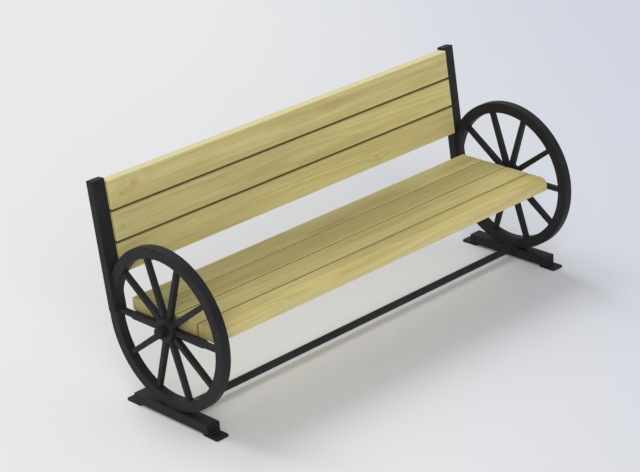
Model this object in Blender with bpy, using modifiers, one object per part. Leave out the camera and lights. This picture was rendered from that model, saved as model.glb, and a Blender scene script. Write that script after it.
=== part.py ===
"""Park bench with a plank seat and back, carried at each end by a spoked wagon wheel.

The bench runs along X, its front faces -Y and it stands on Z = 0, with its origin under the
middle of its overall box. Left and right are as seen from the front. Each end is one welded
frame: a foot beam on two pads, a wheel standing in a saddle on that beam, and a leaning back
post whose slotted foot straddles the wheel's rim down to hub height. A round stretcher joins
the two foot beams. The seat boards lie on angle bearers at the wheels, and the back slats run
between the posts, held from behind by flat cleats.
"""
import math

import bmesh
import bpy

# Gap kept between pieces that touch.
CLEAR = 0.0003

# Wheels.
WHEEL_RADIUS = 0.305
WHEEL_SPACING = 1.803
RIM_DEPTH = 0.0423
RIM_WIDTH = 0.036
RIM_CORNER = 0.0035
SPOKE_COUNT = 10
SPOKE_ROOT_WIDTH = 0.023
SPOKE_TIP_WIDTH = 0.019
SPOKE_THICKNESS = 0.021
SPOKE_CORNER = 0.0035
HUB_RADIUS = 0.045
HUB_PROUD = 0.0055
HUB_CORNER = 0.004
HUB_CAP_RADIUS = 0.021
HUB_CAP_LENGTH = 0.026
HUB_CAP_CORNER = 0.004

# Foot beams, their pads, and the stretcher between them.
BEAM_WIDTH = 0.056
BEAM_HEIGHT = 0.037
BEAM_LENGTH = 0.396
SADDLE_DEPTH = 0.002
PAD_LENGTH = 0.076
PAD_THICKNESS = 0.0077
PAD_OVERHANG = 0.047
PAD_CORNER = 0.006
STRETCHER_RADIUS = 0.014

# Square-cornered tube of the posts and beams, and the plates that close its ends.
TUBE_CORNER = 0.003
END_PLATE = 0.003

# Seat.
SEAT_HEIGHT = 0.394
SEAT_THICKNESS = 0.050
SEAT_BACK_EDGE = 0.226
SEAT_END_GAP = 0.0105
SEAT_BOARD_WIDTH = 0.113
SEAT_BOARD_COUNT = 3
SEAT_FRONT_WIDTH = 0.0925
SEAT_BOARD_GAP = 0.0045
SEAT_NOSE_RADIUS = 0.028
BOARD_EDGE = 0.0035
BOARD_END_CHAMFER = 0.002

# Angle bearers under the seat boards.
BEARER_LEG = 0.040
BEARER_DROP = 0.025
BEARER_WALL = 0.005
BEARER_FRONT = -0.165
BEARER_BACK = 0.215

# Back.
BACK_LEAN = math.radians(6.2)
POST_WIDTH = 0.056
POST_DEPTH = 0.035
POST_INSET = 0.045
POST_FOOT_DROP = 0.004
POST_RISE = 0.0085
LUMBAR_GAP = 0.083
SLAT_COUNT = 3
SLAT_WIDTH = 0.1112
SLAT_GAP = 0.0062
SLAT_THICKNESS = 0.040
SLAT_PROUD = 0.0116
CLEAT_WIDTH = 0.040
CLEAT_THICKNESS = 0.005
CLEAT_MARGIN = 0.012

# Facets of the round pieces. The rim's count is a multiple of the spokes.
RIM_STEPS = 10 * SPOKE_COUNT
HUB_STEPS = 6 * SPOKE_COUNT
CAP_STEPS = 40
ROD_STEPS = 32

# Finishes: colour, roughness, metallic.
BLACK_PAINT = ((0.030, 0.031, 0.034, 1.0), 0.45, 0.0)
CAP_PAINT = ((0.026, 0.027, 0.030, 1.0), 0.50, 0.0)
PAD_PAINT = ((0.024, 0.025, 0.027, 1.0), 0.55, 0.0)
BACK_PINE = ((0.474, 0.413, 0.171, 1.0), 0.55, 0.0)
SEAT_PINE = ((0.402, 0.342, 0.138, 1.0), 0.55, 0.0)

# Places that several pieces share.
BEAM_BASE = PAD_THICKNESS + CLEAR
BEAM_TOP = BEAM_BASE + BEAM_HEIGHT
HUB_HEIGHT = BEAM_TOP - SADDLE_DEPTH + WHEEL_RADIUS
WHEEL_PLANE = WHEEL_SPACING / 2
RIM_INNER = WHEEL_RADIUS - RIM_DEPTH
SPOKE_INNER_FACE = WHEEL_PLANE - SPOKE_THICKNESS / 2
SEAT_END = WHEEL_PLANE - RIM_WIDTH / 2 - SEAT_END_GAP
SEAT_UNDERSIDE = SEAT_HEIGHT - SEAT_THICKNESS
BEAM_INNER_FACE = WHEEL_PLANE - BEAM_WIDTH / 2
POST_INNER_FACE = WHEEL_PLANE - POST_WIDTH / 2
SLAT_END = POST_INNER_FACE - CLEAR
POST_FRONT = WHEEL_RADIUS - POST_INSET

# Heights along the leaning back, measured up the posts' front from hub height.
LEAN_SIN = math.sin(BACK_LEAN)
LEAN_COS = math.cos(BACK_LEAN)
SLAT_START = (SEAT_HEIGHT + LUMBAR_GAP - HUB_HEIGHT - SLAT_PROUD * LEAN_SIN) / LEAN_COS
SLAT_STOP = SLAT_START + SLAT_COUNT * SLAT_WIDTH + (SLAT_COUNT - 1) * SLAT_GAP
POST_STOP = SLAT_STOP + POST_RISE
POST_START = -POST_FOOT_DROP / LEAN_COS

# The wheels' rims reach furthest forward and the post tops furthest back.
BACK_REACH = POST_FRONT + POST_DEPTH * LEAN_COS + POST_STOP * LEAN_SIN
MIDDLE_Y = (BACK_REACH - WHEEL_RADIUS) / 2

SIDES = (("left", -1), ("right", 1))
QUARTER = math.pi / 2


def clear_scene():
    for item in list(bpy.data.objects):
        bpy.data.objects.remove(item, do_unlink=True)


def new_collection(name):
    collection = bpy.data.collections.new(name)
    bpy.context.scene.collection.children.link(collection)
    return collection


def add_frame(name, location, rotation=(0, 0, 0), parent=None):
    """Empty that carries the pieces of one sub-assembly."""
    frame = bpy.data.objects.new(name, None)
    frame.location = location
    frame.rotation_euler = rotation
    frame.parent = parent
    parts.objects.link(frame)
    return frame


def paint(item, finish):
    colour, roughness, metallic = finish
    material = bpy.data.materials.new(item.name + "_finish")
    material.use_nodes = True
    shader = material.node_tree.nodes["Principled BSDF"]
    shader.inputs["Base Color"].default_value = colour
    shader.inputs["Roughness"].default_value = roughness
    shader.inputs["Metallic"].default_value = metallic
    material.diffuse_color = colour
    item.data.materials.append(material)


def add_part(name, mesh, finish, location=(0, 0, 0), rotation=(0, 0, 0), parent=None):
    item = bpy.data.objects.new(name, mesh)
    item.location = location
    item.rotation_euler = rotation
    item.parent = parent or bench_frame
    parts.objects.link(item)
    paint(item, finish)
    mesh.shade_smooth()
    mesh.set_sharp_from_angle(angle=math.radians(32))
    return item


def add_bevel(item, width, segments):
    bevel = item.modifiers.new("rounded_edges", "BEVEL")
    bevel.width = width
    bevel.segments = segments
    bevel.limit_method = "ANGLE"
    bevel.angle_limit = math.radians(50)
    return bevel


def arc(centre, radius, start, stop, steps):
    points = []
    for step in range(steps + 1):
        angle = start + (stop - start) * step / steps
        x = centre[0] + radius * math.cos(angle)
        y = centre[1] + radius * math.sin(angle)
        points.append((x, y))
    return points


def rounded_outline(width, height, radii, steps=2):
    """Rectangle about the origin; radii start at the corner (+, +) and go anticlockwise."""
    signs = ((1, 1), (-1, 1), (-1, -1), (1, -1))
    points = []
    for corner, (sign_x, sign_y) in enumerate(signs):
        radius = radii[corner]
        centre = (sign_x * (width / 2 - radius), sign_y * (height / 2 - radius))
        start = corner * QUARTER
        points += arc(centre, radius, start, start + QUARTER, steps)
    return points


def outline_mesh(name, points, depth):
    """Closed solid from a flat outline, extruded by depth about its own plane."""
    curve = bpy.data.curves.new(name, "CURVE")
    curve.dimensions = "2D"
    curve.fill_mode = "BOTH"
    curve.extrude = depth / 2
    spline = curve.splines.new("POLY")
    spline.points.add(len(points) - 1)
    for point, (x, y) in zip(spline.points, points):
        point.co = (x, y, 0, 1)
    spline.use_cyclic_u = True
    holder = bpy.data.objects.new(name + "_outline", curve)
    guides.objects.link(holder)
    bpy.context.view_layer.update()
    evaluated = holder.evaluated_get(bpy.context.evaluated_depsgraph_get())
    mesh = bpy.data.meshes.new_from_object(evaluated)
    mesh.name = name
    bpy.data.objects.remove(holder, do_unlink=True)
    bpy.data.curves.remove(curve)
    work = bmesh.new()
    work.from_mesh(mesh)
    bmesh.ops.remove_doubles(work, verts=work.verts, dist=0.000001)
    bmesh.ops.dissolve_limit(work, angle_limit=0.001, verts=work.verts, edges=work.edges)
    bmesh.ops.recalc_face_normals(work, faces=work.faces)
    work.to_mesh(mesh)
    work.free()
    return mesh


def box_mesh(name, size):
    mesh = bpy.data.meshes.new(name)
    work = bmesh.new()
    bmesh.ops.create_cube(work, size=1)
    bmesh.ops.scale(work, vec=size, verts=work.verts)
    work.to_mesh(mesh)
    work.free()
    return mesh


def rod_mesh(name, radius, length, steps):
    mesh = bpy.data.meshes.new(name)
    work = bmesh.new()
    bmesh.ops.create_cone(
        work, cap_ends=True, segments=steps, radius1=radius, radius2=radius, depth=length
    )
    work.to_mesh(mesh)
    work.free()
    return mesh


def profile_mesh(name, points, closed):
    """Profile in the XZ plane for a turned piece, running down its outer side."""
    mesh = bpy.data.meshes.new(name)
    work = bmesh.new()
    verts = [work.verts.new((x, 0, z)) for x, z in points]
    for first, second in zip(verts, verts[1:]):
        work.edges.new((first, second))
    if closed:
        work.edges.new((verts[-1], verts[0]))
    work.to_mesh(mesh)
    work.free()
    return mesh


def add_turning(item, steps):
    screw = item.modifiers.new("turned", "SCREW")
    screw.axis = "Z"
    screw.angle = 2 * math.pi
    screw.steps = steps
    screw.render_steps = steps
    screw.use_merge_vertices = True
    screw.merge_threshold = 0.00001
    screw.use_smooth_shade = True
    return screw


def cut(item, cutter):
    boolean = item.modifiers.new("cut_to_" + cutter.name, "BOOLEAN")
    boolean.operation = "DIFFERENCE"
    boolean.solver = "EXACT"
    boolean.object = cutter


def make_rim(side_name, frame):
    middle = WHEEL_RADIUS - RIM_DEPTH / 2
    section = rounded_outline(RIM_DEPTH, RIM_WIDTH, [RIM_CORNER] * 4)
    profile = [(middle + x, z) for x, z in reversed(section)]
    name = "wheel_" + side_name + "_rim"
    rim = add_part(name, profile_mesh(name, profile, True), BLACK_PAINT, parent=frame)
    add_turning(rim, RIM_STEPS)


def make_hub(side_name, frame):
    """Drum that the spokes run into, flush with them inside and proud of the rim outside."""
    inner = -SPOKE_THICKNESS / 2
    outer = RIM_WIDTH / 2 + HUB_PROUD
    shoulder = arc((HUB_RADIUS - HUB_CORNER, outer - HUB_CORNER), HUB_CORNER, QUARTER, 0, 3)
    profile = [(0, outer)] + shoulder + [(HUB_RADIUS, inner), (0, inner)]
    name = "wheel_" + side_name + "_hub"
    hub = add_part(name, profile_mesh(name, profile, False), BLACK_PAINT, parent=frame)
    add_turning(hub, HUB_STEPS)

    base = outer + CLEAR
    tip = base + HUB_CAP_LENGTH
    nose = arc((HUB_CAP_RADIUS - HUB_CAP_CORNER, tip - HUB_CAP_CORNER), HUB_CAP_CORNER, QUARTER, 0, 3)
    profile = [(0, tip)] + nose + [(HUB_CAP_RADIUS, base), (0, base)]
    name = "wheel_" + side_name + "_hub_cap"
    cap = add_part(name, profile_mesh(name, profile, False), CAP_PAINT, parent=frame)
    add_turning(cap, CAP_STEPS)


def spoke_outline():
    """Tapered bar along +X whose ends follow the hub and the inside of the rim."""
    root_radius = HUB_RADIUS + CLEAR
    tip_radius = RIM_INNER * math.cos(math.pi / RIM_STEPS) - CLEAR
    root_angle = math.asin(SPOKE_ROOT_WIDTH / 2 / root_radius)
    tip_angle = math.asin(SPOKE_TIP_WIDTH / 2 / tip_radius)
    root = arc((0, 0), root_radius, root_angle, -root_angle, 4)
    tip = arc((0, 0), tip_radius, -tip_angle, tip_angle, 2)
    return root + tip


def round_long_edges(mesh, length, width):
    work = bmesh.new()
    work.from_mesh(mesh)
    edges = [edge for edge in work.edges if edge.calc_length() > length]
    bmesh.ops.bevel(work, geom=edges, offset=width, segments=2, profile=0.5, affect="EDGES")
    work.to_mesh(mesh)
    work.free()


def make_spokes(side_name, frame):
    outline = spoke_outline()
    long_edge = (RIM_INNER - HUB_RADIUS) / 2
    for index in range(SPOKE_COUNT):
        name = "wheel_{}_spoke_{:02d}".format(side_name, index + 1)
        mesh = outline_mesh(name, outline, SPOKE_THICKNESS)
        round_long_edges(mesh, long_edge, SPOKE_CORNER)
        angle = QUARTER + 2 * math.pi * index / SPOKE_COUNT
        add_part(name, mesh, BLACK_PAINT, rotation=(0, 0, angle), parent=frame)


def make_wheel_cutter(side_name, side):
    """Disc of the wheel's size that shapes the saddle and the slot in the post's foot."""
    width = RIM_WIDTH + 2 * CLEAR
    name = "wheel_{}_space".format(side_name)
    mesh = rod_mesh(name, WHEEL_RADIUS + CLEAR, width, RIM_STEPS)
    cutter = bpy.data.objects.new(name, mesh)
    cutter.location = (side * WHEEL_PLANE, 0, HUB_HEIGHT)
    cutter.rotation_euler = (0, QUARTER, 0)
    cutter.parent = bench_frame
    cutter.hide_render = True
    cutter.display_type = "WIRE"
    guides.objects.link(cutter)
    return cutter


def make_foot(side_name, side, cutter):
    centre_x = side * WHEEL_PLANE
    tube_length = BEAM_LENGTH - 2 * (END_PLATE + CLEAR)
    section = rounded_outline(BEAM_WIDTH, BEAM_HEIGHT, [TUBE_CORNER] * 4)
    height = BEAM_BASE + BEAM_HEIGHT / 2
    name = "foot_beam_" + side_name
    mesh = outline_mesh(name, section, tube_length)
    beam = add_part(name, mesh, BLACK_PAINT, (centre_x, 0, height), (QUARTER, 0, 0))
    cut(beam, cutter)
    for end_name, end in (("front", -1), ("back", 1)):
        name = "foot_beam_{}_plate_{}".format(side_name, end_name)
        mesh = outline_mesh(name, section, END_PLATE)
        plate_y = end * (BEAM_LENGTH - END_PLATE) / 2
        add_part(name, mesh, CAP_PAINT, (centre_x, plate_y, height), (QUARTER, 0, 0))

        name = "foot_pad_{}_{}".format(side_name, end_name)
        outline = rounded_outline(BEAM_WIDTH, PAD_LENGTH, [PAD_CORNER] * 4)
        mesh = outline_mesh(name, outline, PAD_THICKNESS)
        pad_y = end * (BEAM_LENGTH / 2 + PAD_OVERHANG - PAD_LENGTH / 2)
        add_part(name, mesh, PAD_PAINT, (centre_x, pad_y, PAD_THICKNESS / 2))


def make_stretcher():
    length = 2 * (BEAM_INNER_FACE - CLEAR)
    mesh = rod_mesh("stretcher_rod", STRETCHER_RADIUS, length, ROD_STEPS)
    height = BEAM_BASE + BEAM_HEIGHT / 2
    add_part("stretcher_rod", mesh, BLACK_PAINT, (0, 0, height), (0, QUARTER, 0))


def make_post(side_name, side, frame, cutter):
    centre_x = side * WHEEL_PLANE
    section = rounded_outline(POST_WIDTH, POST_DEPTH, [TUBE_CORNER] * 4)
    stop = POST_STOP - END_PLATE - CLEAR
    name = "back_post_" + side_name
    mesh = outline_mesh(name, section, stop - POST_START)
    place = (centre_x, POST_DEPTH / 2, (POST_START + stop) / 2)
    post = add_part(name, mesh, BLACK_PAINT, place, parent=frame)
    cut(post, cutter)

    name = "back_post_{}_plate".format(side_name)
    mesh = outline_mesh(name, section, END_PLATE)
    place = (centre_x, POST_DEPTH / 2, POST_STOP - END_PLATE / 2)
    add_part(name, mesh, CAP_PAINT, place, parent=frame)

    name = "back_cleat_" + side_name
    length = SLAT_STOP - SLAT_START - 2 * CLEAT_MARGIN
    mesh = box_mesh(name, (CLEAT_WIDTH, CLEAT_THICKNESS, length))
    cleat_y = SLAT_THICKNESS - SLAT_PROUD + CLEAR + CLEAT_THICKNESS / 2
    place = (side * (SLAT_END - CLEAT_WIDTH / 2), cleat_y, (SLAT_START + SLAT_STOP) / 2)
    cleat = add_part(name, mesh, BLACK_PAINT, place, parent=frame)
    add_bevel(cleat, 0.001, 1)


def make_slats(frame):
    section = rounded_outline(SLAT_THICKNESS, SLAT_WIDTH, [BOARD_EDGE] * 4, 3)
    depth = SLAT_THICKNESS / 2 - SLAT_PROUD
    for index in range(SLAT_COUNT):
        name = "back_slat_{}".format(index + 1)
        mesh = outline_mesh(name, section, 2 * SLAT_END)
        height = SLAT_START + SLAT_WIDTH / 2 + index * (SLAT_WIDTH + SLAT_GAP)
        turn = (QUARTER, 0, QUARTER)
        slat = add_part(name, mesh, BACK_PINE, (0, depth, height), turn, frame)
        add_bevel(slat, BOARD_END_CHAMFER, 1)


def add_seat_board(name, front, width, radii):
    section = rounded_outline(width, SEAT_THICKNESS, radii, 5)
    mesh = outline_mesh(name, section, 2 * SEAT_END)
    place = (0, front + width / 2, SEAT_HEIGHT - SEAT_THICKNESS / 2)
    board = add_part(name, mesh, SEAT_PINE, place, (QUARTER, 0, QUARTER))
    add_bevel(board, BOARD_END_CHAMFER, 1)


def make_seat():
    """Equal boards from the back edge forward, then a narrower one with a rounded nose."""
    edge = SEAT_BACK_EDGE
    for index in range(SEAT_BOARD_COUNT):
        edge -= SEAT_BOARD_WIDTH
        name = "seat_board_{}".format(index + 1)
        add_seat_board(name, edge, SEAT_BOARD_WIDTH, [BOARD_EDGE] * 4)
        edge -= SEAT_BOARD_GAP
    edge -= SEAT_FRONT_WIDTH
    radii = [BOARD_EDGE, SEAT_NOSE_RADIUS, BOARD_EDGE, BOARD_EDGE]
    add_seat_board("seat_board_front", edge, SEAT_FRONT_WIDTH, radii)


def make_bearer(side_name, side):
    """Angle against the inside of the spokes, its upper leg under the board ends."""
    outer = SPOKE_INNER_FACE - CLEAR
    top = SEAT_UNDERSIDE - CLEAR
    corners = (
        (0, 0),
        (-BEARER_LEG, 0),
        (-BEARER_LEG, -BEARER_WALL),
        (-BEARER_WALL, -BEARER_WALL),
        (-BEARER_WALL, -BEARER_DROP),
        (0, -BEARER_DROP),
    )
    outline = [(side * x, y) for x, y in corners]
    name = "seat_bearer_" + side_name
    mesh = outline_mesh(name, outline, BEARER_BACK - BEARER_FRONT)
    place = (side * outer, (BEARER_FRONT + BEARER_BACK) / 2, top)
    add_part(name, mesh, BLACK_PAINT, place, (QUARTER, 0, 0))


clear_scene()
parts = new_collection("park_bench")
guides = new_collection("park_bench_cutters")

bench_frame = add_frame("bench_frame", (0, -MIDDLE_Y, 0))
back_place = (0, POST_FRONT, HUB_HEIGHT)
back_frame = add_frame("back_frame", back_place, (-BACK_LEAN, 0, 0), bench_frame)
for side_word, side_sign in SIDES:
    hub_place = (side_sign * WHEEL_PLANE, 0, HUB_HEIGHT)
    wheel_turn = (0, side_sign * QUARTER, 0)
    wheel_frame = add_frame("wheel_" + side_word, hub_place, wheel_turn, bench_frame)
    wheel_space = make_wheel_cutter(side_word, side_sign)
    make_rim(side_word, wheel_frame)
    make_hub(side_word, wheel_frame)
    make_spokes(side_word, wheel_frame)
    make_foot(side_word, side_sign, wheel_space)
    make_post(side_word, side_sign, back_frame, wheel_space)
    make_bearer(side_word, side_sign)
make_stretcher()
make_slats(back_frame)
make_seat()
bpy.context.view_layer.update()
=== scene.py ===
"""Looks of the wagon wheel park bench: finishes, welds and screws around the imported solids.

The bench runs along X, its front faces -Y and it stands on Z = 0, in metres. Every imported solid
stays in view. The boards each have their own pine, the steel pieces share five paints, and only
weld beads and screws are added.
"""
import math
from collections import namedtuple

import bmesh
import bpy
from mathutils import Matrix, Vector


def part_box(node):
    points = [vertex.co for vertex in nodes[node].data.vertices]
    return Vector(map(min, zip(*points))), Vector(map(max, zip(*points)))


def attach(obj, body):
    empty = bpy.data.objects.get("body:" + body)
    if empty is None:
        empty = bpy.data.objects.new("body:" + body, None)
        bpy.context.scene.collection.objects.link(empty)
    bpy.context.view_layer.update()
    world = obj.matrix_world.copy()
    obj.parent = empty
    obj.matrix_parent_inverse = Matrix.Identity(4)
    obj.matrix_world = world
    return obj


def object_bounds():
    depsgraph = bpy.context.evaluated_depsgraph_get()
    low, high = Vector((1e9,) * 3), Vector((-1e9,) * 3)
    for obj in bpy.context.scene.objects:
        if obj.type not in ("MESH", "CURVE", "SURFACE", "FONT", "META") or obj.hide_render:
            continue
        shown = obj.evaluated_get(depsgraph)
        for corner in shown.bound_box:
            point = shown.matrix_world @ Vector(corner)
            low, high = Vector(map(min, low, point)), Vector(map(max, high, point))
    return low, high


# Camera, taken from the photograph's view: angles in degrees, lengths in metres.
VIEW_AZIMUTH = -42.853
VIEW_ELEVATION = 23.195
VIEW_ROLL = -3.752
VIEW_DISTANCE = 7.504
VIEW_TARGET = (-0.1575, -0.021, 0.4436)
VIEW_LENS = 114.87
VIEW_REACH = 100.0
SENSOR_WIDTH = 36.0

# Light: the sky, then two broad lamps. A lamp has the direction that it shines from, its spread
# in degrees, its strength and its tint.
SKY_TINT = (0.91, 0.95, 1.0, 1.0)
SKY_STRENGTH = 0.54
KEY_LAMP = ((-5.0, -6.8, 4.0), 40, 1.85, (1.0, 0.985, 0.96))
BACK_LAMP = ((0.0, 4.2, 5.0), 36, 1.45, (1.0, 1.0, 1.0))

# Floor: display colours of its warm and its cool side, the shares of X and Y that tell how far
# across a place is, and the stretch over which the colour changes.
FLOOR_REACH = 80
FLOOR_GAP = 0.0002
FLOOR_WARM = (224, 223, 222)
FLOOR_COOL = (200, 203, 212)
FLOOR_ACROSS = (0.78, -0.62)
FLOOR_CHANGE = (-0.6, 2.0)
FLOOR_ROUGHNESS = 0.75
FLOOR_SPECULAR = 0.2

# Sizes of the solids that their boxes don't give.
BACK_LEAN = math.radians(6.2)
SLAT_THICKNESS = 0.040
SLAT_WIDTH = 0.1112
POST_DEPTH = 0.035
POST_INSET = 0.045
POST_FOOT_DROP = 0.004
SPOKE_COUNT = 10
SPOKE_ROOT_WIDTH = 0.023
SPOKE_TIP_WIDTH = 0.019
RIM_DEPTH = 0.0423
BEARER_WALL = 0.005
CLEAT_STAND = 0.0053
QUARTER = math.pi / 2

# Weld beads: radii, the step from ring to ring, what each ripple and each end does to the radius,
# and how far some beads stay clear of a corner.
BEAD = 0.0024
FOOT_BEAD = 0.0030
BEAD_STEP = 0.0025
BEAD_SIDES = 6
BEAD_RIPPLE = 0.08
BEAD_END = 0.55
BEAD_INSET = 0.004
ROD_BEAD_STEPS = 24

# Screws: radii and heights of the washer and the hexagon head. Their places are shares of a board's
# width, from a seat board's front edge and from a slat's middle. The margin is at a bearer's ends.
SCREW_WASHER = 0.0078
WASHER_THICKNESS = 0.0015
WASHER_CHAMFER = 0.0005
WASHER_STEPS = 24
SCREW_HEAD = 0.0056
SCREW_TOP = 0.0055
HEAD_CHAMFER = 0.0009
HEAD_SIDES = 6
SEAT_SCREWS = (0.25, 0.75)
SLAT_SCREWS = (-0.27, 0.27)
SCREW_MARGIN = 0.012

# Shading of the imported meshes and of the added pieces.
WELD_DISTANCE = 0.00001
SHARP_ANGLE = math.radians(36)
ADDED_SHARP_ANGLE = math.radians(48)

# One layer of a finish: its noise, the stretch of the noise in which it comes in, and how strong
# it is at the two ends of that stretch.
Layer = namedtuple("Layer", "scale detail rough low high at_low at_high")

# Pine: display colours of early and late wood in the back and the seat, of knots, and of the painted
# shade in the seams.
BACK_EARLY = (196, 185, 126)
BACK_LATE = (162, 147, 90)
SEAT_EARLY = (192, 180, 120)
SEAT_LATE = (156, 139, 82)
KNOT_BROWN = (146, 112, 62)
# Painted shade in the seams between boards.
SEAM_SHADE_BROWN = (104, 88, 34)

# Layers of the grain. A board's scale is along its length, through its depth and up its width.
FIBRE = Layer((7.0, 460.0, 460.0), 3.0, 0.60, 0.28, 0.70, 0.09, 0.0)
PORES = Layer((4.0, 300.0, 300.0), 2.0, 0.50, 0.56, 0.68, 0.0, 0.34)
STREAK = Layer((1.1, 62.0, 62.0), 3.0, 0.55, 0.38, 0.74, 0.0, 0.32)
BAND = Layer((0.8, 17.0, 17.0), 2.0, 0.50, 0.46, 0.72, 0.0, 0.38)
PATCH = Layer((2.4, 9.0, 9.0), 3.0, 0.55, 0.54, 0.78, 0.0, 0.40)
FIBRE_SHADE = (0.10, 0.06, 0.02, 1.0)

# Shades of the wood, as red, green and blue shares of its early or late colour. The pale gain
# multiplies the finished grain instead, so that the grain stays visible.
BAND_TINT = (0.98, 0.98, 0.94)
PATCH_TINT = (1.10, 1.10, 1.12)
PORE_TINT = (0.78, 0.72, 0.62)
BROWN_MARK_TINT = (1.06, 0.86, 0.80)
PALE_GAIN = (1.32, 1.33, 1.24)
# Worn corners, lightened further as a painted highlight.
WORN_HIGHLIGHT_TINT = (1.20, 1.20, 1.24)
END_TINT = (1.02, 1.02, 0.98)
# Painted highlight on a board's top or front edge.
EDGE_HIGHLIGHT_TINT = (1.30, 1.32, 1.75)

# Growth rings: how many to a metre, how they sway in depth and width, how far they run out over
# a board's length, how each ring darkens slowly and ends sharply, and how its strength follows the
# patches of the grain.
RINGS_PER_METRE = 135.0
SWAY_SCALE = (0.9, 5.0, 5.0)
SWAY_APART = (7.3, 2.1, 4.4)
SWAY_DEPTH = 0.030
SWAY_WIDTH = 0.044
RUN_OUT = 0.016
RING_RISE = (0.10, 0.84)
RING_FALL = (0.86, 1.0, 1.0, 0.0)
RING_STRENGTH = (0.30, 0.70, 0.12, 0.50)
SEED_SHARES = (1.0, 0.37, 0.61)

# Knots: what length, depth and width count in the distance from one, its ragged edge, and shares of
# its radius for its core and for the rings that it pushes aside.
KNOT_STRETCH = (0.60, 0.35, 1.0)
KNOT_RAGGED_SCALE = 60.0
KNOT_RAGGED = 0.5
KNOT_CORE = (0.45, 1.25)
KNOT_PUSH = (0.5, 3.4, 0.42)
KNOT_STRENGTH = 0.32

# Tone marks: where they start to fade, how the streaks break them up, and what depth counts.
MARK_START = 0.15
MARK_BREAKS = (0.30, 0.62, 0.45, 1.0)
MARK_DEPTH_SHARE = 0.25

# Edges of a board: chips at the corners, worn and lightened as a painted highlight, the sawn ends, a
# painted highlight along some long edges, and painted shade along the seams.
CHIP_SCALE = 34.0
CHIP_SIZE = 0.006
CHIP_FADE = (0.0045, 0.0100, 0.55, 0.0)
END_FADE = (0.0004, 0.0030, 0.30, 0.0)
EDGE_HIGHLIGHT_REACH = 0.009
SEAM_SCALE = 90.0
SEAM_RAGGED = 0.6
SEAM_FADE = (0.3, 1.5, 0.60)

# Surface of the wood: what fibres and rings add to its relief, and its gloss.
FIBRE_RELIEF = 0.6
RING_RELIEF = -0.4
WOOD_BUMP = (0.20, 0.0005)
WOOD_ROUGHNESS = (0.25, 0.75, 0.62, 0.48)
WOOD_SPECULAR = 0.35

# Black paints: display colour, roughness, and how much dust lies on upward faces.
WHEEL_PAINT = ((29, 29, 31), 0.50, 0.03)
FRAME_PAINT = ((31, 31, 33), 0.52, 0.02)
ROD_PAINT = ((37, 37, 39), 0.50, 0.02)
PLATE_PAINT = ((25, 25, 28), 0.54, 0.03)
PAD_PAINT = ((25, 25, 27), 0.58, 0.06)
PAINT_SPECULAR = 0.17

# Layers of the paint, and the colours of settled dust and of scuffs.
DRIFT = Layer((7.0, 7.0, 7.0), 4.0, 0.60, 0.32, 0.70, 0.0, 1.0)
DUST = Layer((46.0, 46.0, 46.0), 5.0, 0.62, 0.34, 0.72, 0.25, 1.0)
SCUFF = Layer((130.0, 130.0, 520.0), 4.0, 0.70, 0.70, 0.82, 0.0, 0.16)
PEEL_SCALE = 620.0
PAINT_BUMP = (0.10, 0.0004)
DRIFT_DARK = 0.84
DRIFT_LIGHT = 1.2
DUST_UPWARD = (0.35, 0.95)
DUST_GREY = (0.16, 0.16, 0.165, 1.0)
SCUFF_GREY = (0.09, 0.09, 0.094, 1.0)
GLOSS_STRETCH = (0.30, 0.72)
GLOSS_DRIFT = (-0.07, 0.09)

# Marks on the shown face of a board, from its middle along its length and up its width. A tone
# mark is a browner place, or a paler one where its strength is below zero. Some are stains, some
# are painted light or painted shade.
Knot = namedtuple("Knot", "along across radius")
Blush = namedtuple("Blush", "along across length width strength")

# Look of one board: its tone as red, green and blue shares, its marks, the widths of the strips
# of painted seam shade along its two long edges, and the strength of the painted highlight on
# these edges. Its lower or front edge comes first.
Look = namedtuple("Look", "tone knots blushes seams faded")

# Widths of the painted shade along the seams between slats.
SLAT_SEAM = 0.0060
BACK_LOOKS = {
    "back_slat_1": Look(
        tone=(0.95, 0.95, 0.95),
        knots=[Knot(0.42, -0.018, 0.010)],
        blushes=[
            Blush(-0.30, 0.012, 0.20, 0.030, 0.30),
            Blush(0.30, 0.0, 0.80, 0.300, -0.30),
        ],
        seams=(0, SLAT_SEAM),
        faded=(0, 0),
    ),
    "back_slat_2": Look(
        tone=(0.91, 0.91, 0.91),
        knots=[Knot(-0.838, -0.006, 0.007)],
        blushes=[Blush(0.65, 0.0, 0.85, 0.300, -0.60)],
        seams=(SLAT_SEAM, SLAT_SEAM),
        faded=(0, 0),
    ),
    "back_slat_3": Look(
        tone=(1.0, 1.0, 1.0),
        knots=[Knot(-0.759, 0.0127, 0.020), Knot(-0.822, -0.011, 0.010)],
        blushes=[
            Blush(-0.79, 0.0, 0.10, 0.035, 0.40),
            Blush(0.227, 0.011, 0.10, 0.026, 0.50),
            Blush(0.842, 0.028, 0.06, 0.020, 0.50),
        ],
        seams=(SLAT_SEAM, 0),
        # Painted highlight along the top edge.
        faded=(0, 0.8),
    ),
}

# Widths of the painted shade along the seams between seat boards.
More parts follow.
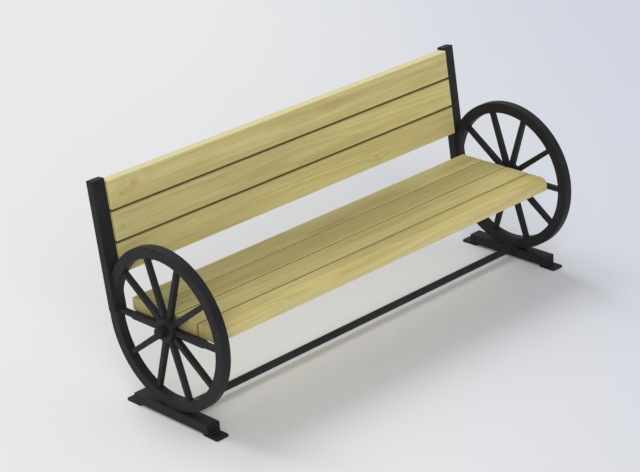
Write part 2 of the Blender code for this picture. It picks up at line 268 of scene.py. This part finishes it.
BACK_SEAT_SEAM = 0.0024
MIDDLE_SEAT_SEAM = 0.0028
FRONT_SEAT_SEAM = 0.0060
SEAT_LOOKS = {
    "seat_board_1": Look(
        tone=(1.06, 1.08, 1.17),
        knots=[],
        blushes=[
            Blush(0.03, -0.045, 0.20, 0.030, 0.70),
            Blush(0.33, -0.020, 0.25, 0.030, 0.30),
            # Painted light: paler towards the right end.
            Blush(0.80, 0.0, 0.55, 0.160, -1.0),
        ],
        seams=(BACK_SEAT_SEAM, 0),
        faded=(0, 0),
    ),
    "seat_board_2": Look(
        tone=(0.93, 0.935, 0.95),
        knots=[],
        blushes=[
            Blush(-0.37, -0.050, 0.16, 0.024, 0.45),
            Blush(-0.58, -0.020, 0.16, 0.028, 0.30),
            Blush(-0.45, 0.015, 0.34, 0.050, -0.45),
            # Painted light: paler towards the right end.
            Blush(0.80, 0.0, 0.45, 0.160, -0.75),
        ],
        seams=(MIDDLE_SEAT_SEAM, BACK_SEAT_SEAM),
        faded=(0, 0),
    ),
    "seat_board_3": Look(
        tone=(1.02, 1.02, 1.03),
        knots=[],
        blushes=[
            Blush(0.10, 0.020, 0.30, 0.030, 0.30),
            # Painted light: paler towards the right end.
            Blush(0.80, 0.0, 0.45, 0.160, -0.60),
        ],
        seams=(FRONT_SEAT_SEAM, MIDDLE_SEAT_SEAM),
        faded=(0, 0),
    ),
    "seat_board_front": Look(
        tone=(1.0, 1.0, 0.99),
        knots=[Knot(-0.41, 0.036, 0.007)],
        blushes=[
            # Painted light: paler towards the right end.
            Blush(0.62, 0.010, 0.56, 0.060, -0.75),
            # Painted highlight along the rounded front edge.
            Blush(-0.20, -0.028, 1.20, 0.032, -0.45),
            Blush(0.62, -0.046, 0.40, 0.020, 0.40),
            # Painted shade: browner and darker at the left end.
            Blush(-0.84, 0.010, 0.24, 0.080, 0.35),
            Blush(-0.38, 0.012, 0.24, 0.050, -0.40),
        ],
        seams=(0, FRONT_SEAT_SEAM),
        # Painted highlight along the front edge.
        faded=(0.24, 0),
    ),
}

# Heart line of the tree that each board was sawn from, as depth and height from its middle, and
# the seed of its grain: those of the first board, and the steps from board to board.
BACK_HEART = ((0.072, -0.008), (0.012, 0.022))
BACK_SEED = (1.7, 1.7)
SEAT_HEART = ((0.075, -0.020), (-0.010, 0.017))
SEAT_SEED = (11.0, 2.3)

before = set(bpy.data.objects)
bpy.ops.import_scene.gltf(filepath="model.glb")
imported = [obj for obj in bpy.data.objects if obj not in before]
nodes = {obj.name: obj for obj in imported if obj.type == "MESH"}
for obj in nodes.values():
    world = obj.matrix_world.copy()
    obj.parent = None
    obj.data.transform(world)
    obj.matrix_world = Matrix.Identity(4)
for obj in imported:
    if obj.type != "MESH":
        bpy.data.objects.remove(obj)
cad_low, cad_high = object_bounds()
boxes = {name: tuple(Vector(corner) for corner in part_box(name)) for name in nodes}


class Tree:
    """Small helper that adds and links the nodes of one material."""

    def __init__(self, name):
        self.material = bpy.data.materials.new(name)
        self.material.use_nodes = True
        self.tree = self.material.node_tree
        self.tree.nodes.clear()
        self.shader = self.tree.nodes.new("ShaderNodeBsdfPrincipled")
        self.output = self.tree.nodes.new("ShaderNodeOutputMaterial")
        self.tree.links.new(self.shader.outputs["BSDF"], self.output.inputs["Surface"])

    def put(self, socket, value):
        if isinstance(value, bpy.types.NodeSocket):
            self.tree.links.new(value, socket)
        elif value is not None:
            socket.default_value = value

    def coordinates(self):
        return self.tree.nodes.new("ShaderNodeTexCoord").outputs["Object"]

    def normal(self):
        return self.tree.nodes.new("ShaderNodeNewGeometry").outputs["Normal"]

    def mapping(self, vector, scale=(1, 1, 1), offset=(0, 0, 0), turn=(0, 0, 0)):
        node = self.tree.nodes.new("ShaderNodeMapping")
        self.put(node.inputs["Vector"], vector)
        node.inputs["Scale"].default_value = scale
        node.inputs["Location"].default_value = offset
        node.inputs["Rotation"].default_value = turn
        return node.outputs["Vector"]

    def noise(self, vector, scale, detail=2.0, rough=0.5):
        node = self.tree.nodes.new("ShaderNodeTexNoise")
        self.put(node.inputs["Vector"], vector)
        node.inputs["Scale"].default_value = scale
        node.inputs["Detail"].default_value = detail
        node.inputs["Roughness"].default_value = rough
        return node.outputs["Fac"]

    def layer(self, vector, layer):
        """Noise of one layer."""
        return self.noise(self.mapping(vector, scale=layer.scale), 1.0, layer.detail, layer.rough)

    def shown(self, noise, layer):
        """How strongly a layer shows where its noise is known."""
        return self.span(noise, layer.low, layer.high, layer.at_low, layer.at_high)

    def math(self, operation, first, second=None, third=None):
        node = self.tree.nodes.new("ShaderNodeMath")
        node.operation = operation
        for socket, value in zip(node.inputs, (first, second, third)):
            self.put(socket, value)
        return node.outputs["Value"]

    def vector(self, operation, first, second=None):
        node = self.tree.nodes.new("ShaderNodeVectorMath")
        node.operation = operation
        self.put(node.inputs[0], first)
        self.put(node.inputs[1], second)
        return node.outputs["Value" if operation == "LENGTH" else "Vector"]

    def parts(self, vector):
        node = self.tree.nodes.new("ShaderNodeSeparateXYZ")
        self.put(node.inputs["Vector"], vector)
        return node.outputs["X"], node.outputs["Y"], node.outputs["Z"]

    def join(self, x, y, z):
        node = self.tree.nodes.new("ShaderNodeCombineXYZ")
        for socket, value in zip(node.inputs, (x, y, z)):
            self.put(socket, value)
        return node.outputs["Vector"]

    def span(self, value, low, high, new_low=0.0, new_high=1.0):
        """Smooth step from one value to another over a stretch of the input."""
        node = self.tree.nodes.new("ShaderNodeMapRange")
        node.interpolation_type = "SMOOTHSTEP"
        node.clamp = True
        self.put(node.inputs["Value"], value)
        node.inputs["From Min"].default_value = low
        node.inputs["From Max"].default_value = high
        node.inputs["To Min"].default_value = new_low
        node.inputs["To Max"].default_value = new_high
        return node.outputs["Result"]

    def mix(self, factor, first, second):
        node = self.tree.nodes.new("ShaderNodeMix")
        node.data_type = "RGBA"
        node.clamp_factor = True
        colours = [socket for socket in node.inputs if socket.type == "RGBA"]
        self.put(node.inputs["Factor"], factor)
        self.put(colours[0], first)
        self.put(colours[1], second)
        return [socket for socket in node.outputs if socket.type == "RGBA"][0]

    def bump(self, height, strength, distance):
        node = self.tree.nodes.new("ShaderNodeBump")
        node.inputs["Strength"].default_value = strength
        node.inputs["Distance"].default_value = distance
        self.put(node.inputs["Height"], height)
        self.put(self.shader.inputs["Normal"], node.outputs["Normal"])

    def finish(self, colour, roughness, specular):
        self.put(self.shader.inputs["Base Color"], colour)
        self.put(self.shader.inputs["Roughness"], roughness)
        self.shader.inputs["Specular IOR Level"].default_value = specular
        return self.material


def rgb(red, green, blue):
    """Linear colour from 8-bit display values."""
    result = []
    for value in (red, green, blue):
        share = value / 255
        result.append(share / 12.92 if share <= 0.04045 else ((share + 0.055) / 1.055) ** 2.4)
    return (*result, 1.0)


def tinted(colour, red, green, blue):
    return (colour[0] * red, colour[1] * green, colour[2] * blue, 1.0)


def middle(node_name):
    low, high = boxes[node_name]
    return (low + high) / 2


def extent(node_name):
    low, high = boxes[node_name]
    return high - low


def dress(node_name, material):
    data = nodes[node_name].data
    data.materials.clear()
    data.materials.append(material)


def half_sizes(board):
    """Half of a board's thickness, width and length."""
    size = extent(board)
    if board in BACK_LOOKS:
        return SLAT_THICKNESS / 2, SLAT_WIDTH / 2, size.x / 2
    return size.z / 2, size.y / 2, size.x / 2


def ring_reach(tree, place, grown, heart):
    """Distance from the heart line, which sways and runs out along the board."""
    x, y, z = tree.parts(place)
    slow = tree.mapping(grown, scale=SWAY_SCALE)
    sway_y = tree.noise(slow, 1.0)
    sway_z = tree.noise(tree.mapping(slow, offset=SWAY_APART), 1.0)
    ring_y = tree.math("MULTIPLY_ADD", sway_y, SWAY_DEPTH, tree.math("SUBTRACT", y, heart[0]))
    ring_z = tree.math("MULTIPLY_ADD", sway_z, SWAY_WIDTH, tree.math("SUBTRACT", z, heart[1]))
    ring_z = tree.math("MULTIPLY_ADD", x, RUN_OUT, ring_z)
    return tree.vector("LENGTH", tree.join(0.0, ring_y, ring_z))


def add_knots(tree, reach, place, grown, depth, knots):
    """Rings pushed aside round the knots, and the knots' own spots."""
    spots = 0.0
    for knot in knots:
        away = tree.vector("SUBTRACT", place, (knot.along, -depth, knot.across))
        distance = tree.vector("LENGTH", tree.mapping(away, scale=KNOT_STRETCH))
        ragged = tree.noise(grown, KNOT_RAGGED_SCALE)
        ragged = tree.math("MULTIPLY_ADD", ragged, knot.radius * KNOT_RAGGED, distance)
        core_start, core_stop = [knot.radius * share for share in KNOT_CORE]
        spots = tree.math("MAXIMUM", spots, tree.span(ragged, core_start, core_stop, 1.0, 0.0))
        push_start, push_stop, push = [knot.radius * share for share in KNOT_PUSH]
        reach = tree.math("ADD", reach, tree.span(distance, push_start, push_stop, push, 0.0))
    return reach, spots


def add_tone_marks(tree, colour, place, streak, depth, late, blushes):
    """Browner or paler places on the shown face, broken up by the streaks of the grain. Some are
    stains, some are painted light, and some are painted shade.
    """
    breaks = tree.span(streak, *MARK_BREAKS)
    for tone_mark in blushes:
        away = tree.vector("SUBTRACT", place, (tone_mark.along, -depth, tone_mark.across))
        shrink = (1 / tone_mark.length, MARK_DEPTH_SHARE / tone_mark.width, 1 / tone_mark.width)
        distance = tree.vector("LENGTH", tree.mapping(away, scale=shrink))
        fade = tree.span(distance, MARK_START, 1.0, abs(tone_mark.strength), 0.0)
        if tone_mark.strength > 0:
            shade = tinted(late, *BROWN_MARK_TINT)
        else:
            shade = tree.vector("MULTIPLY", colour, PALE_GAIN)
        colour = tree.mix(tree.math("MULTIPLY", fade, breaks), colour, shade)
    return colour


def wear_and_light_edges(tree, colour, place, grown, half, early, look):
    """Chipped corners lightened as a painted highlight, sawn ends, painted highlights on long edges,
    and painted shade where boards lie side by side.
    """
    edges = []
    for position, size in zip(tree.parts(place), (half[2], half[0], half[1])):
        edges.append(tree.math("SUBTRACT", size, tree.math("ABSOLUTE", position)))
    corner = tree.math("ADD", edges[1], edges[2])
    chips = tree.noise(grown, CHIP_SCALE, 3.0, 0.6)
    # Lighter corners: wear, and a painted highlight.
    worn_and_highlit = tree.span(tree.math("MULTIPLY_ADD", chips, CHIP_SIZE, corner), *CHIP_FADE)
    colour = tree.mix(worn_and_highlit, colour, tinted(early, *WORN_HIGHLIGHT_TINT))
    colour = tree.mix(tree.span(edges[0], *END_FADE), colour, tinted(early, *END_TINT))
    height = tree.parts(place)[2]
    for sign, strip, fade in zip((-1, 1), look.seams, look.faded):
        away = tree.math("MULTIPLY_ADD", height, -sign, half[1])
        # Painted highlight along a long edge.
        if fade:
            faded = tree.span(away, 0.0, EDGE_HIGHLIGHT_REACH, fade, 0.0)
            colour = tree.mix(faded, colour, tinted(early, *EDGE_HIGHLIGHT_TINT))
        # Painted shade along a seam, darkest towards the gap.
        if strip:
            ragged = tree.noise(grown, SEAM_SCALE, 3.0, 0.6)
            ragged = tree.math("MULTIPLY_ADD", ragged, strip * SEAM_RAGGED, away)
            start, stop, strength = SEAM_FADE
            dust_and_seam_shade = tree.span(ragged, strip * start, strip * stop, strength, 0.0)
            colour = tree.mix(dust_and_seam_shade, colour, rgb(*SEAM_SHADE_BROWN))
    return colour


def wood(name, board, tilt, heart, seed, early, late, look):
    """Pine sawn along X, in the board's own frame: X its length, -Y its shown face, Z its width.

    Growth rings run round a heart line outside the board, so they show as long lines on the
    faces and as arcs on the ends.
    """
    tree = Tree(name)
    half = half_sizes(board)
    turn = Matrix.Rotation(tilt, 3, "X")
    place = tree.mapping(tree.coordinates(), offset=-(turn @ middle(board)), turn=(tilt, 0, 0))
    grown = tree.mapping(place, offset=[seed * share for share in SEED_SHARES])
    reach = ring_reach(tree, place, grown, heart)
    reach, spots = add_knots(tree, reach, place, grown, half[0], look.knots)
    turns = tree.math("FRACT", tree.math("MULTIPLY", reach, RINGS_PER_METRE))
    ring = tree.math("MULTIPLY", tree.span(turns, *RING_RISE), tree.span(turns, *RING_FALL))

    fibre = tree.layer(grown, FIBRE)
    streak = tree.layer(grown, STREAK)
    patch = tree.layer(grown, PATCH)
    colour = tree.mix(tree.math("MULTIPLY", ring, tree.span(patch, *RING_STRENGTH)), early, late)
    coats = (
        (STREAK, streak, late),
        (BAND, tree.layer(grown, BAND), tinted(late, *BAND_TINT)),
        (PATCH, patch, tinted(early, *PATCH_TINT)),
        (FIBRE, fibre, FIBRE_SHADE),
        (PORES, tree.layer(grown, PORES), tinted(late, *PORE_TINT)),
    )
    for layer, noise, shade in coats:
        colour = tree.mix(tree.shown(noise, layer), colour, shade)
    colour = add_tone_marks(tree, colour, place, streak, half[0], late, look.blushes)
    if look.knots:
        colour = tree.mix(tree.math("MULTIPLY", spots, KNOT_STRENGTH), colour, rgb(*KNOT_BROWN))
    colour = wear_and_light_edges(tree, colour, place, grown, half, early, look)

    relief = tree.math("MULTIPLY", ring, RING_RELIEF)
    tree.bump(tree.math("MULTIPLY_ADD", fibre, FIBRE_RELIEF, relief), *WOOD_BUMP)
    return tree.finish(colour, tree.span(fibre, *WOOD_ROUGHNESS), WOOD_SPECULAR)


def dress_boards(name, looks, tilt, hearts, seeds, early, late):
    """Pine on a row of boards, each with its own grain, tone and marks."""
    for index, (board, look) in enumerate(looks.items()):
        heart = [start + step * index for start, step in zip(*hearts)]
        seed = seeds[0] + seeds[1] * index
        early_tone = tinted(rgb(*early), *look.tone)
        late_tone = tinted(rgb(*late), *look.tone)
        finish = wood(name.format(index + 1), board, tilt, heart, seed, early_tone, late_tone, look)
        dress(board, finish)


def black_paint(name, display, roughness, dust):
    """Satin black paint on steel: orange peel, tone drift, faint scuffs, dust on upward faces."""
    tree = Tree(name)
    place = tree.coordinates()
    base = rgb(*display)
    dark = tinted(base, DRIFT_DARK, DRIFT_DARK, DRIFT_DARK)
    light = tinted(base, DRIFT_LIGHT, DRIFT_LIGHT, DRIFT_LIGHT)
    colour = tree.mix(tree.shown(tree.layer(place, DRIFT), DRIFT), dark, light)
    dust_and_seam_shade = tree.layer(place, DUST)
    upward = tree.span(tree.parts(tree.normal())[2], *DUST_UPWARD)
    settled = tree.math("MULTIPLY", upward, tree.shown(dust_and_seam_shade, DUST))
    colour = tree.mix(tree.math("MULTIPLY", settled, dust), colour, DUST_GREY)
    colour = tree.mix(tree.shown(tree.layer(place, SCUFF), SCUFF), colour, SCUFF_GREY)
    tree.bump(tree.noise(place, PEEL_SCALE), *PAINT_BUMP)
    gloss = [roughness + drift for drift in GLOSS_DRIFT]
    return tree.finish(colour, tree.span(dust_and_seam_shade, *GLOSS_STRETCH, *gloss), PAINT_SPECULAR)


def smooth_shading():
    """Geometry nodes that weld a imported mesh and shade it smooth, apart from its sharp edges."""
    group = bpy.data.node_groups.new("smooth_shading", "GeometryNodeTree")
    group.interface.new_socket("Geometry", in_out="INPUT", socket_type="NodeSocketGeometry")
    group.interface.new_socket("Geometry", in_out="OUTPUT", socket_type="NodeSocketGeometry")
    start = group.nodes.new("NodeGroupInput")
    weld = group.nodes.new("GeometryNodeMergeByDistance")
    weld.inputs["Distance"].default_value = WELD_DISTANCE
    angle = group.nodes.new("GeometryNodeInputMeshEdgeAngle")
    sharp = group.nodes.new("FunctionNodeCompare")
    sharp.operation = "GREATER_THAN"
    sharp.inputs["B"].default_value = SHARP_ANGLE
    shade = group.nodes.new("GeometryNodeSetMeshNormal")
    stop = group.nodes.new("NodeGroupOutput")
    group.links.new(start.outputs[0], weld.inputs["Geometry"])
    group.links.new(weld.outputs[0], shade.inputs["Mesh"])
    group.links.new(angle.outputs["Unsigned Angle"], sharp.inputs["A"])
    group.links.new(sharp.outputs[0], shade.inputs["Edge Sharpness"])
    group.links.new(shade.outputs[0], stop.inputs[0])
    return group


def resampled(points, closed):
    """Points at even steps along a path of corners."""
    corners = [Vector(point) for point in points]
    if closed:
        corners.append(corners[0])
    lengths = [0.0]
    for first, second in zip(corners, corners[1:]):
        lengths.append(lengths[-1] + (second - first).length)
    count = max(3, round(lengths[-1] / BEAD_STEP))
    result = []
    leg = 0
    for step in range(count if closed else count + 1):
        along = lengths[-1] * step / count
        while leg < len(corners) - 2 and along > lengths[leg + 1]:
            leg += 1
        share = (along - lengths[leg]) / (lengths[leg + 1] - lengths[leg])
        result.append(corners[leg].lerp(corners[leg + 1], share))
    return result


def circle(count, radius):
    """Points of a circle about the origin, as pairs."""
    angles = [2 * math.pi * step / count for step in range(count)]
    return [(radius * math.cos(angle), radius * math.sin(angle)) for angle in angles]


def bridge(work, rings, closed=False):
    """Skin over rings of equal point counts, with the two ends capped unless it is closed."""
    pairs = list(zip(rings, rings[1:]))
    if closed:
        pairs.append((rings[-1], rings[0]))
    sides = len(rings[0])
    for first, second in pairs:
        for step in range(sides):
            after = (step + 1) % sides
            work.faces.new((first[step], first[after], second[after], second[step]))
    if not closed:
        work.faces.new(list(reversed(rings[0])))
        work.faces.new(rings[-1])


def add_bead(work, points, radius, closed=False):
    """Rippled weld bead along a path, closed or with narrowed ends."""
    path = resampled(points, closed)
    count = len(path)
    rings = []
    for index, point in enumerate(path):
        before = path[index - 1] if closed or index else point
        after = path[(index + 1) % count] if closed or index < count - 1 else point
        along = (after - before).normalized()
        if rings:
            side = (side - along * side.dot(along)).normalized()
        else:
            side = along.orthogonal().normalized()
        up = along.cross(side)
        swell = radius * (1 + BEAD_RIPPLE if index % 2 else 1 - BEAD_RIPPLE)
        if not closed and index in (0, count - 1):
            swell = radius * BEAD_END
        ring = [point + side * first + up * second for first, second in circle(BEAD_SIDES, swell)]
        rings.append([work.verts.new(place) for place in ring])
    bridge(work, rings, closed)


def finish_piece(name, work, material):
    """Object from a mesh in the making, riding on the bench's one body."""
    bmesh.ops.recalc_face_normals(work, faces=work.faces)
    mesh = bpy.data.meshes.new(name)
    work.to_mesh(mesh)
    work.free()
    mesh.shade_smooth()
    mesh.set_sharp_from_angle(angle=ADDED_SHARP_ANGLE)
    mesh.materials.append(material)
    piece = bpy.data.objects.new(name, mesh)
    bpy.context.scene.collection.objects.link(piece)
    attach(piece, "root")


def add_wheel_welds(side_name, side):
    """Beads where the spokes meet the hub and the rim."""
    hub = "wheel_{}_hub".format(side_name)
    rim = "wheel_{}_rim".format(side_name)
    hub_radius = extent(hub).y / 2
    inner_radius = extent(rim).y / 2 - RIM_DEPTH
    centre = Vector((middle(rim).x, middle(hub).y, middle(hub).z))
    face = Vector((side * extent("wheel_{}_spoke_01".format(side_name)).x / 2, 0, 0))
    lip = Vector((side * BEAD, 0, 0))
    half_root = SPOKE_ROOT_WIDTH / 2
    half_tip = SPOKE_TIP_WIDTH / 2
    root_reach = math.sqrt(hub_radius ** 2 - half_root ** 2)
    tip_reach = math.sqrt(inner_radius ** 2 - half_tip ** 2)
    work = bmesh.new()
    for index in range(SPOKE_COUNT):
        angle = QUARTER + 2 * math.pi * index / SPOKE_COUNT
        out = Vector((0, math.sin(angle), math.cos(angle)))
        across = Vector((0, math.cos(angle), -math.sin(angle)))
        first = centre + out * root_reach - across * half_root
        second = centre + out * root_reach + across * half_root
        crown = centre + out * hub_radius
        root = [first - face + lip, first + face, crown + face, second + face, second - face + lip]
        add_bead(work, root, BEAD)
        first = centre + out * tip_reach - across * half_tip
        second = centre + out * tip_reach + across * half_tip
        add_bead(work, [first - face, first + face, second + face, second - face], BEAD, closed=True)
    finish_piece("weld_spokes_" + side_name, work, wheel_paint)


def lean_point(x, along, depth):
    """Point on a post, from hub height up its front and back into its depth."""
    foot_y = middle("wheel_left_rim").y + extent("wheel_left_rim").y / 2 - POST_INSET
    foot_z = middle("wheel_left_rim").z
    y = foot_y + along * math.sin(BACK_LEAN) + depth * math.cos(BACK_LEAN)
    z = foot_z + along * math.cos(BACK_LEAN) - depth * math.sin(BACK_LEAN)
    return Vector((x, y, z))


def crossing(radius, depth):
    """Height along a post at which its front or back face passes a circle of the wheel."""
    foot = extent("wheel_left_rim").y / 2 - POST_INSET
    lean = foot * math.sin(BACK_LEAN)
    rest = foot ** 2 + depth ** 2 + 2 * foot * depth * math.cos(BACK_LEAN) - radius ** 2
    return math.sqrt(lean ** 2 - rest) - lean


def add_frame_welds(side_name, side):
    """Beads at the post's foot, the saddle, the stretcher and the pads of one end frame."""
    rim_low, rim_high = boxes["wheel_{}_rim".format(side_name)]
    outer_radius = (rim_high.y - rim_low.y) / 2
    front_top = crossing(outer_radius, 0.0)
    front_low = crossing(outer_radius - RIM_DEPTH, 0.0)
    back_top = crossing(outer_radius, POST_DEPTH)
    foot = -POST_FOOT_DROP / math.cos(BACK_LEAN)
    work = bmesh.new()
    for face in (rim_low.x, rim_high.x):
        add_bead(work, [lean_point(face, front_top, 0.0), lean_point(face, front_low, 0.0)], BEAD)
        under = [
            lean_point(face, foot, BEAD_INSET),
            lean_point(face, foot, POST_DEPTH),
            lean_point(face, back_top, POST_DEPTH),
        ]
        add_bead(work, under, BEAD)

    beam_top = boxes["foot_beam_" + side_name][1].z
    centre_y = (rim_low.y + rim_high.y) / 2
    half_saddle = math.sqrt(outer_radius ** 2 - (outer_radius - beam_top + rim_low.z) ** 2)
    for face in (rim_low.x, rim_high.x):
        ends = [Vector((face, centre_y + end * half_saddle, beam_top)) for end in (-1, 1)]
        add_bead(work, ends, FOOT_BEAD)

    rod_low, rod_high = boxes["stretcher_rod"]
    rod_end = rod_low.x if side < 0 else rod_high.x
    rod_centre = Vector((rod_end, *middle("stretcher_rod").yz))
    ring = circle(ROD_BEAD_STEPS, (rod_high.z - rod_low.z) / 2)
    add_bead(work, [rod_centre + Vector((0, y, z)) for y, z in ring], FOOT_BEAD, closed=True)

    for end_name, end in (("front", -1), ("back", 1)):
        plate_low, plate_high = boxes["foot_beam_{}_plate_{}".format(side_name, end_name)]
        face_y = plate_low.y if end < 0 else plate_high.y
        ends = (plate_low.x + BEAD_INSET, plate_high.x - BEAD_INSET)
        add_bead(work, [Vector((x, face_y, plate_low.z)) for x in ends], FOOT_BEAD)
    finish_piece("weld_frame_" + side_name, work, frame_paint)


def add_turned(work, base, steps, profile):
    """Closed solid through rings of radius and height about the base's own Z axis."""
    rings = []
    for radius, height in profile:
        ring = [base @ Vector((x, y, height)) for x, y in circle(steps, radius)]
        rings.append([work.verts.new(place) for place in ring])
    bridge(work, rings)


def add_screw(work, place, axis):
    """Washer and chamfered hexagon head, standing out along the axis."""
    turn = Vector(axis).to_track_quat("Z", "Y").to_matrix().to_4x4()
    base = Matrix.Translation(place) @ turn
    chamfer = WASHER_THICKNESS - WASHER_CHAMFER
    washer = (
        (SCREW_WASHER, 0.0),
        (SCREW_WASHER, chamfer),
        (SCREW_WASHER - WASHER_CHAMFER, WASHER_THICKNESS),
    )
    add_turned(work, base, WASHER_STEPS, washer)
    head = (
        (SCREW_HEAD, chamfer),
        (SCREW_HEAD, SCREW_TOP - HEAD_CHAMFER),
        (SCREW_HEAD - HEAD_CHAMFER, SCREW_TOP),
    )
    add_turned(work, base, HEAD_SIDES, head)


def add_screws(side_name):
    """Screws up through the bearer into the seat boards and through the cleat into the slats."""
    work = bmesh.new()
    bearer_low, bearer_high = boxes["seat_bearer_" + side_name]
    bearer_under = bearer_high.z - BEARER_WALL
    for board in SEAT_LOOKS:
        low, high = boxes[board]
        x = (bearer_high.x + low.x) / 2 if side_name == "left" else (bearer_low.x + high.x) / 2
        for share in SEAT_SCREWS:
            y = low.y + (high.y - low.y) * share
            if bearer_low.y + SCREW_MARGIN < y < bearer_high.y - SCREW_MARGIN:
                add_screw(work, Vector((x, y, bearer_under)), (0, 0, -1))
    back = Vector((0, math.cos(BACK_LEAN), -math.sin(BACK_LEAN)))
    rise = Vector((0, math.sin(BACK_LEAN), math.cos(BACK_LEAN)))
    for board in BACK_LOOKS:
        for share in SLAT_SCREWS:
            centre = middle(board) + rise * (share * SLAT_WIDTH)
            centre.x = middle("back_cleat_" + side_name).x
            add_screw(work, centre + back * (SLAT_THICKNESS / 2 + CLEAT_STAND), back)
    finish_piece("screws_" + side_name, work, plate_paint)


def add_camera():
    azimuth = math.radians(VIEW_AZIMUTH)
    elevation = math.radians(VIEW_ELEVATION)
    roll = math.radians(VIEW_ROLL)
    level = Vector((math.cos(azimuth), math.sin(azimuth), 0.0))
    facing = Vector((math.sin(azimuth), -math.cos(azimuth), 0.0))
    back = facing * math.cos(elevation) + Vector((0.0, 0.0, math.sin(elevation)))
    right = level * math.cos(roll) + back.cross(level) * math.sin(roll)
    up = back.cross(right)
    data = bpy.data.cameras.new("camera")
    data.lens = VIEW_LENS
    data.sensor_width = SENSOR_WIDTH
    data.sensor_fit = "HORIZONTAL"
    data.clip_end = VIEW_REACH
    camera = bpy.data.objects.new("camera", data)
    turn = Matrix((right, up, back)).transposed().to_4x4()
    camera.matrix_world = Matrix.Translation(Vector(VIEW_TARGET) + back * VIEW_DISTANCE) @ turn
    bpy.context.scene.collection.objects.link(camera)
    bpy.context.scene.camera = camera


def add_floor():
    """Pale floor that turns from a warm to a cool white across the view."""
    mesh = bpy.data.meshes.new("floor")
    work = bmesh.new()
    bmesh.ops.create_grid(work, x_segments=1, y_segments=1, size=FLOOR_REACH)
    work.to_mesh(mesh)
    work.free()
    floor = bpy.data.objects.new("floor", mesh)
    floor.location = (0, 0, cad_low[2] - FLOOR_GAP)
    bpy.context.scene.collection.objects.link(floor)
    tree = Tree("floor_pale")
    x, y, _ = tree.parts(tree.coordinates())
    across = tree.math("MULTIPLY", x, FLOOR_ACROSS[0])
    across = tree.math("MULTIPLY_ADD", y, FLOOR_ACROSS[1], across)
    colour = tree.mix(tree.span(across, *FLOOR_CHANGE), rgb(*FLOOR_WARM), rgb(*FLOOR_COOL))
    mesh.materials.append(tree.finish(colour, FLOOR_ROUGHNESS, FLOOR_SPECULAR))


def add_sun(name, direction, spread, strength, tint):
    """Broad even light that comes from the given direction."""
    data = bpy.data.lights.new(name, "SUN")
    data.angle = math.radians(spread)
    data.energy = strength
    data.color = tint
    lamp = bpy.data.objects.new(name, data)
    lamp.rotation_euler = Vector(direction).to_track_quat("Z", "Y").to_euler()
    bpy.context.scene.collection.objects.link(lamp)


def add_light():
    world = bpy.data.worlds.new("studio")
    world.use_nodes = True
    background = world.node_tree.nodes["Background"]
    background.inputs["Color"].default_value = SKY_TINT
    background.inputs["Strength"].default_value = SKY_STRENGTH
    bpy.context.scene.world = world
    add_sun("key", *KEY_LAMP)
    add_sun("back", *BACK_LAMP)


dress_boards("slat_pine_{}", BACK_LOOKS, BACK_LEAN, BACK_HEART, BACK_SEED, BACK_EARLY, BACK_LATE)
dress_boards("seat_pine_{}", SEAT_LOOKS, QUARTER, SEAT_HEART, SEAT_SEED, SEAT_EARLY, SEAT_LATE)

wheel_paint = black_paint("wheel_black", *WHEEL_PAINT)
frame_paint = black_paint("frame_black", *FRAME_PAINT)
rod_paint = black_paint("rod_black", *ROD_PAINT)
plate_paint = black_paint("plate_black", *PLATE_PAINT)
pad_paint = black_paint("pad_black", *PAD_PAINT)
for node_name in nodes:
    if node_name.startswith("foot_pad"):
        dress(node_name, pad_paint)
    elif "plate" in node_name or "hub_cap" in node_name:
        dress(node_name, plate_paint)
    elif node_name.startswith("stretcher"):
        dress(node_name, rod_paint)
    elif node_name.startswith("wheel"):
        dress(node_name, wheel_paint)
    elif node_name not in BACK_LOOKS and node_name not in SEAT_LOOKS:
        dress(node_name, frame_paint)

rounding = smooth_shading()
for node in nodes.values():
    node.modifiers.new("smooth_shading", "NODES").node_group = rounding
    node.modifiers.new("even_normals", "WEIGHTED_NORMAL").keep_sharp = True

for side_word, side_sign in (("left", -1), ("right", 1)):
    add_wheel_welds(side_word, side_sign)
    add_frame_welds(side_word, side_sign)
    add_screws(side_word)

add_floor()
add_light()
add_camera()
bpy.context.scene.view_settings.view_transform = "Standard"
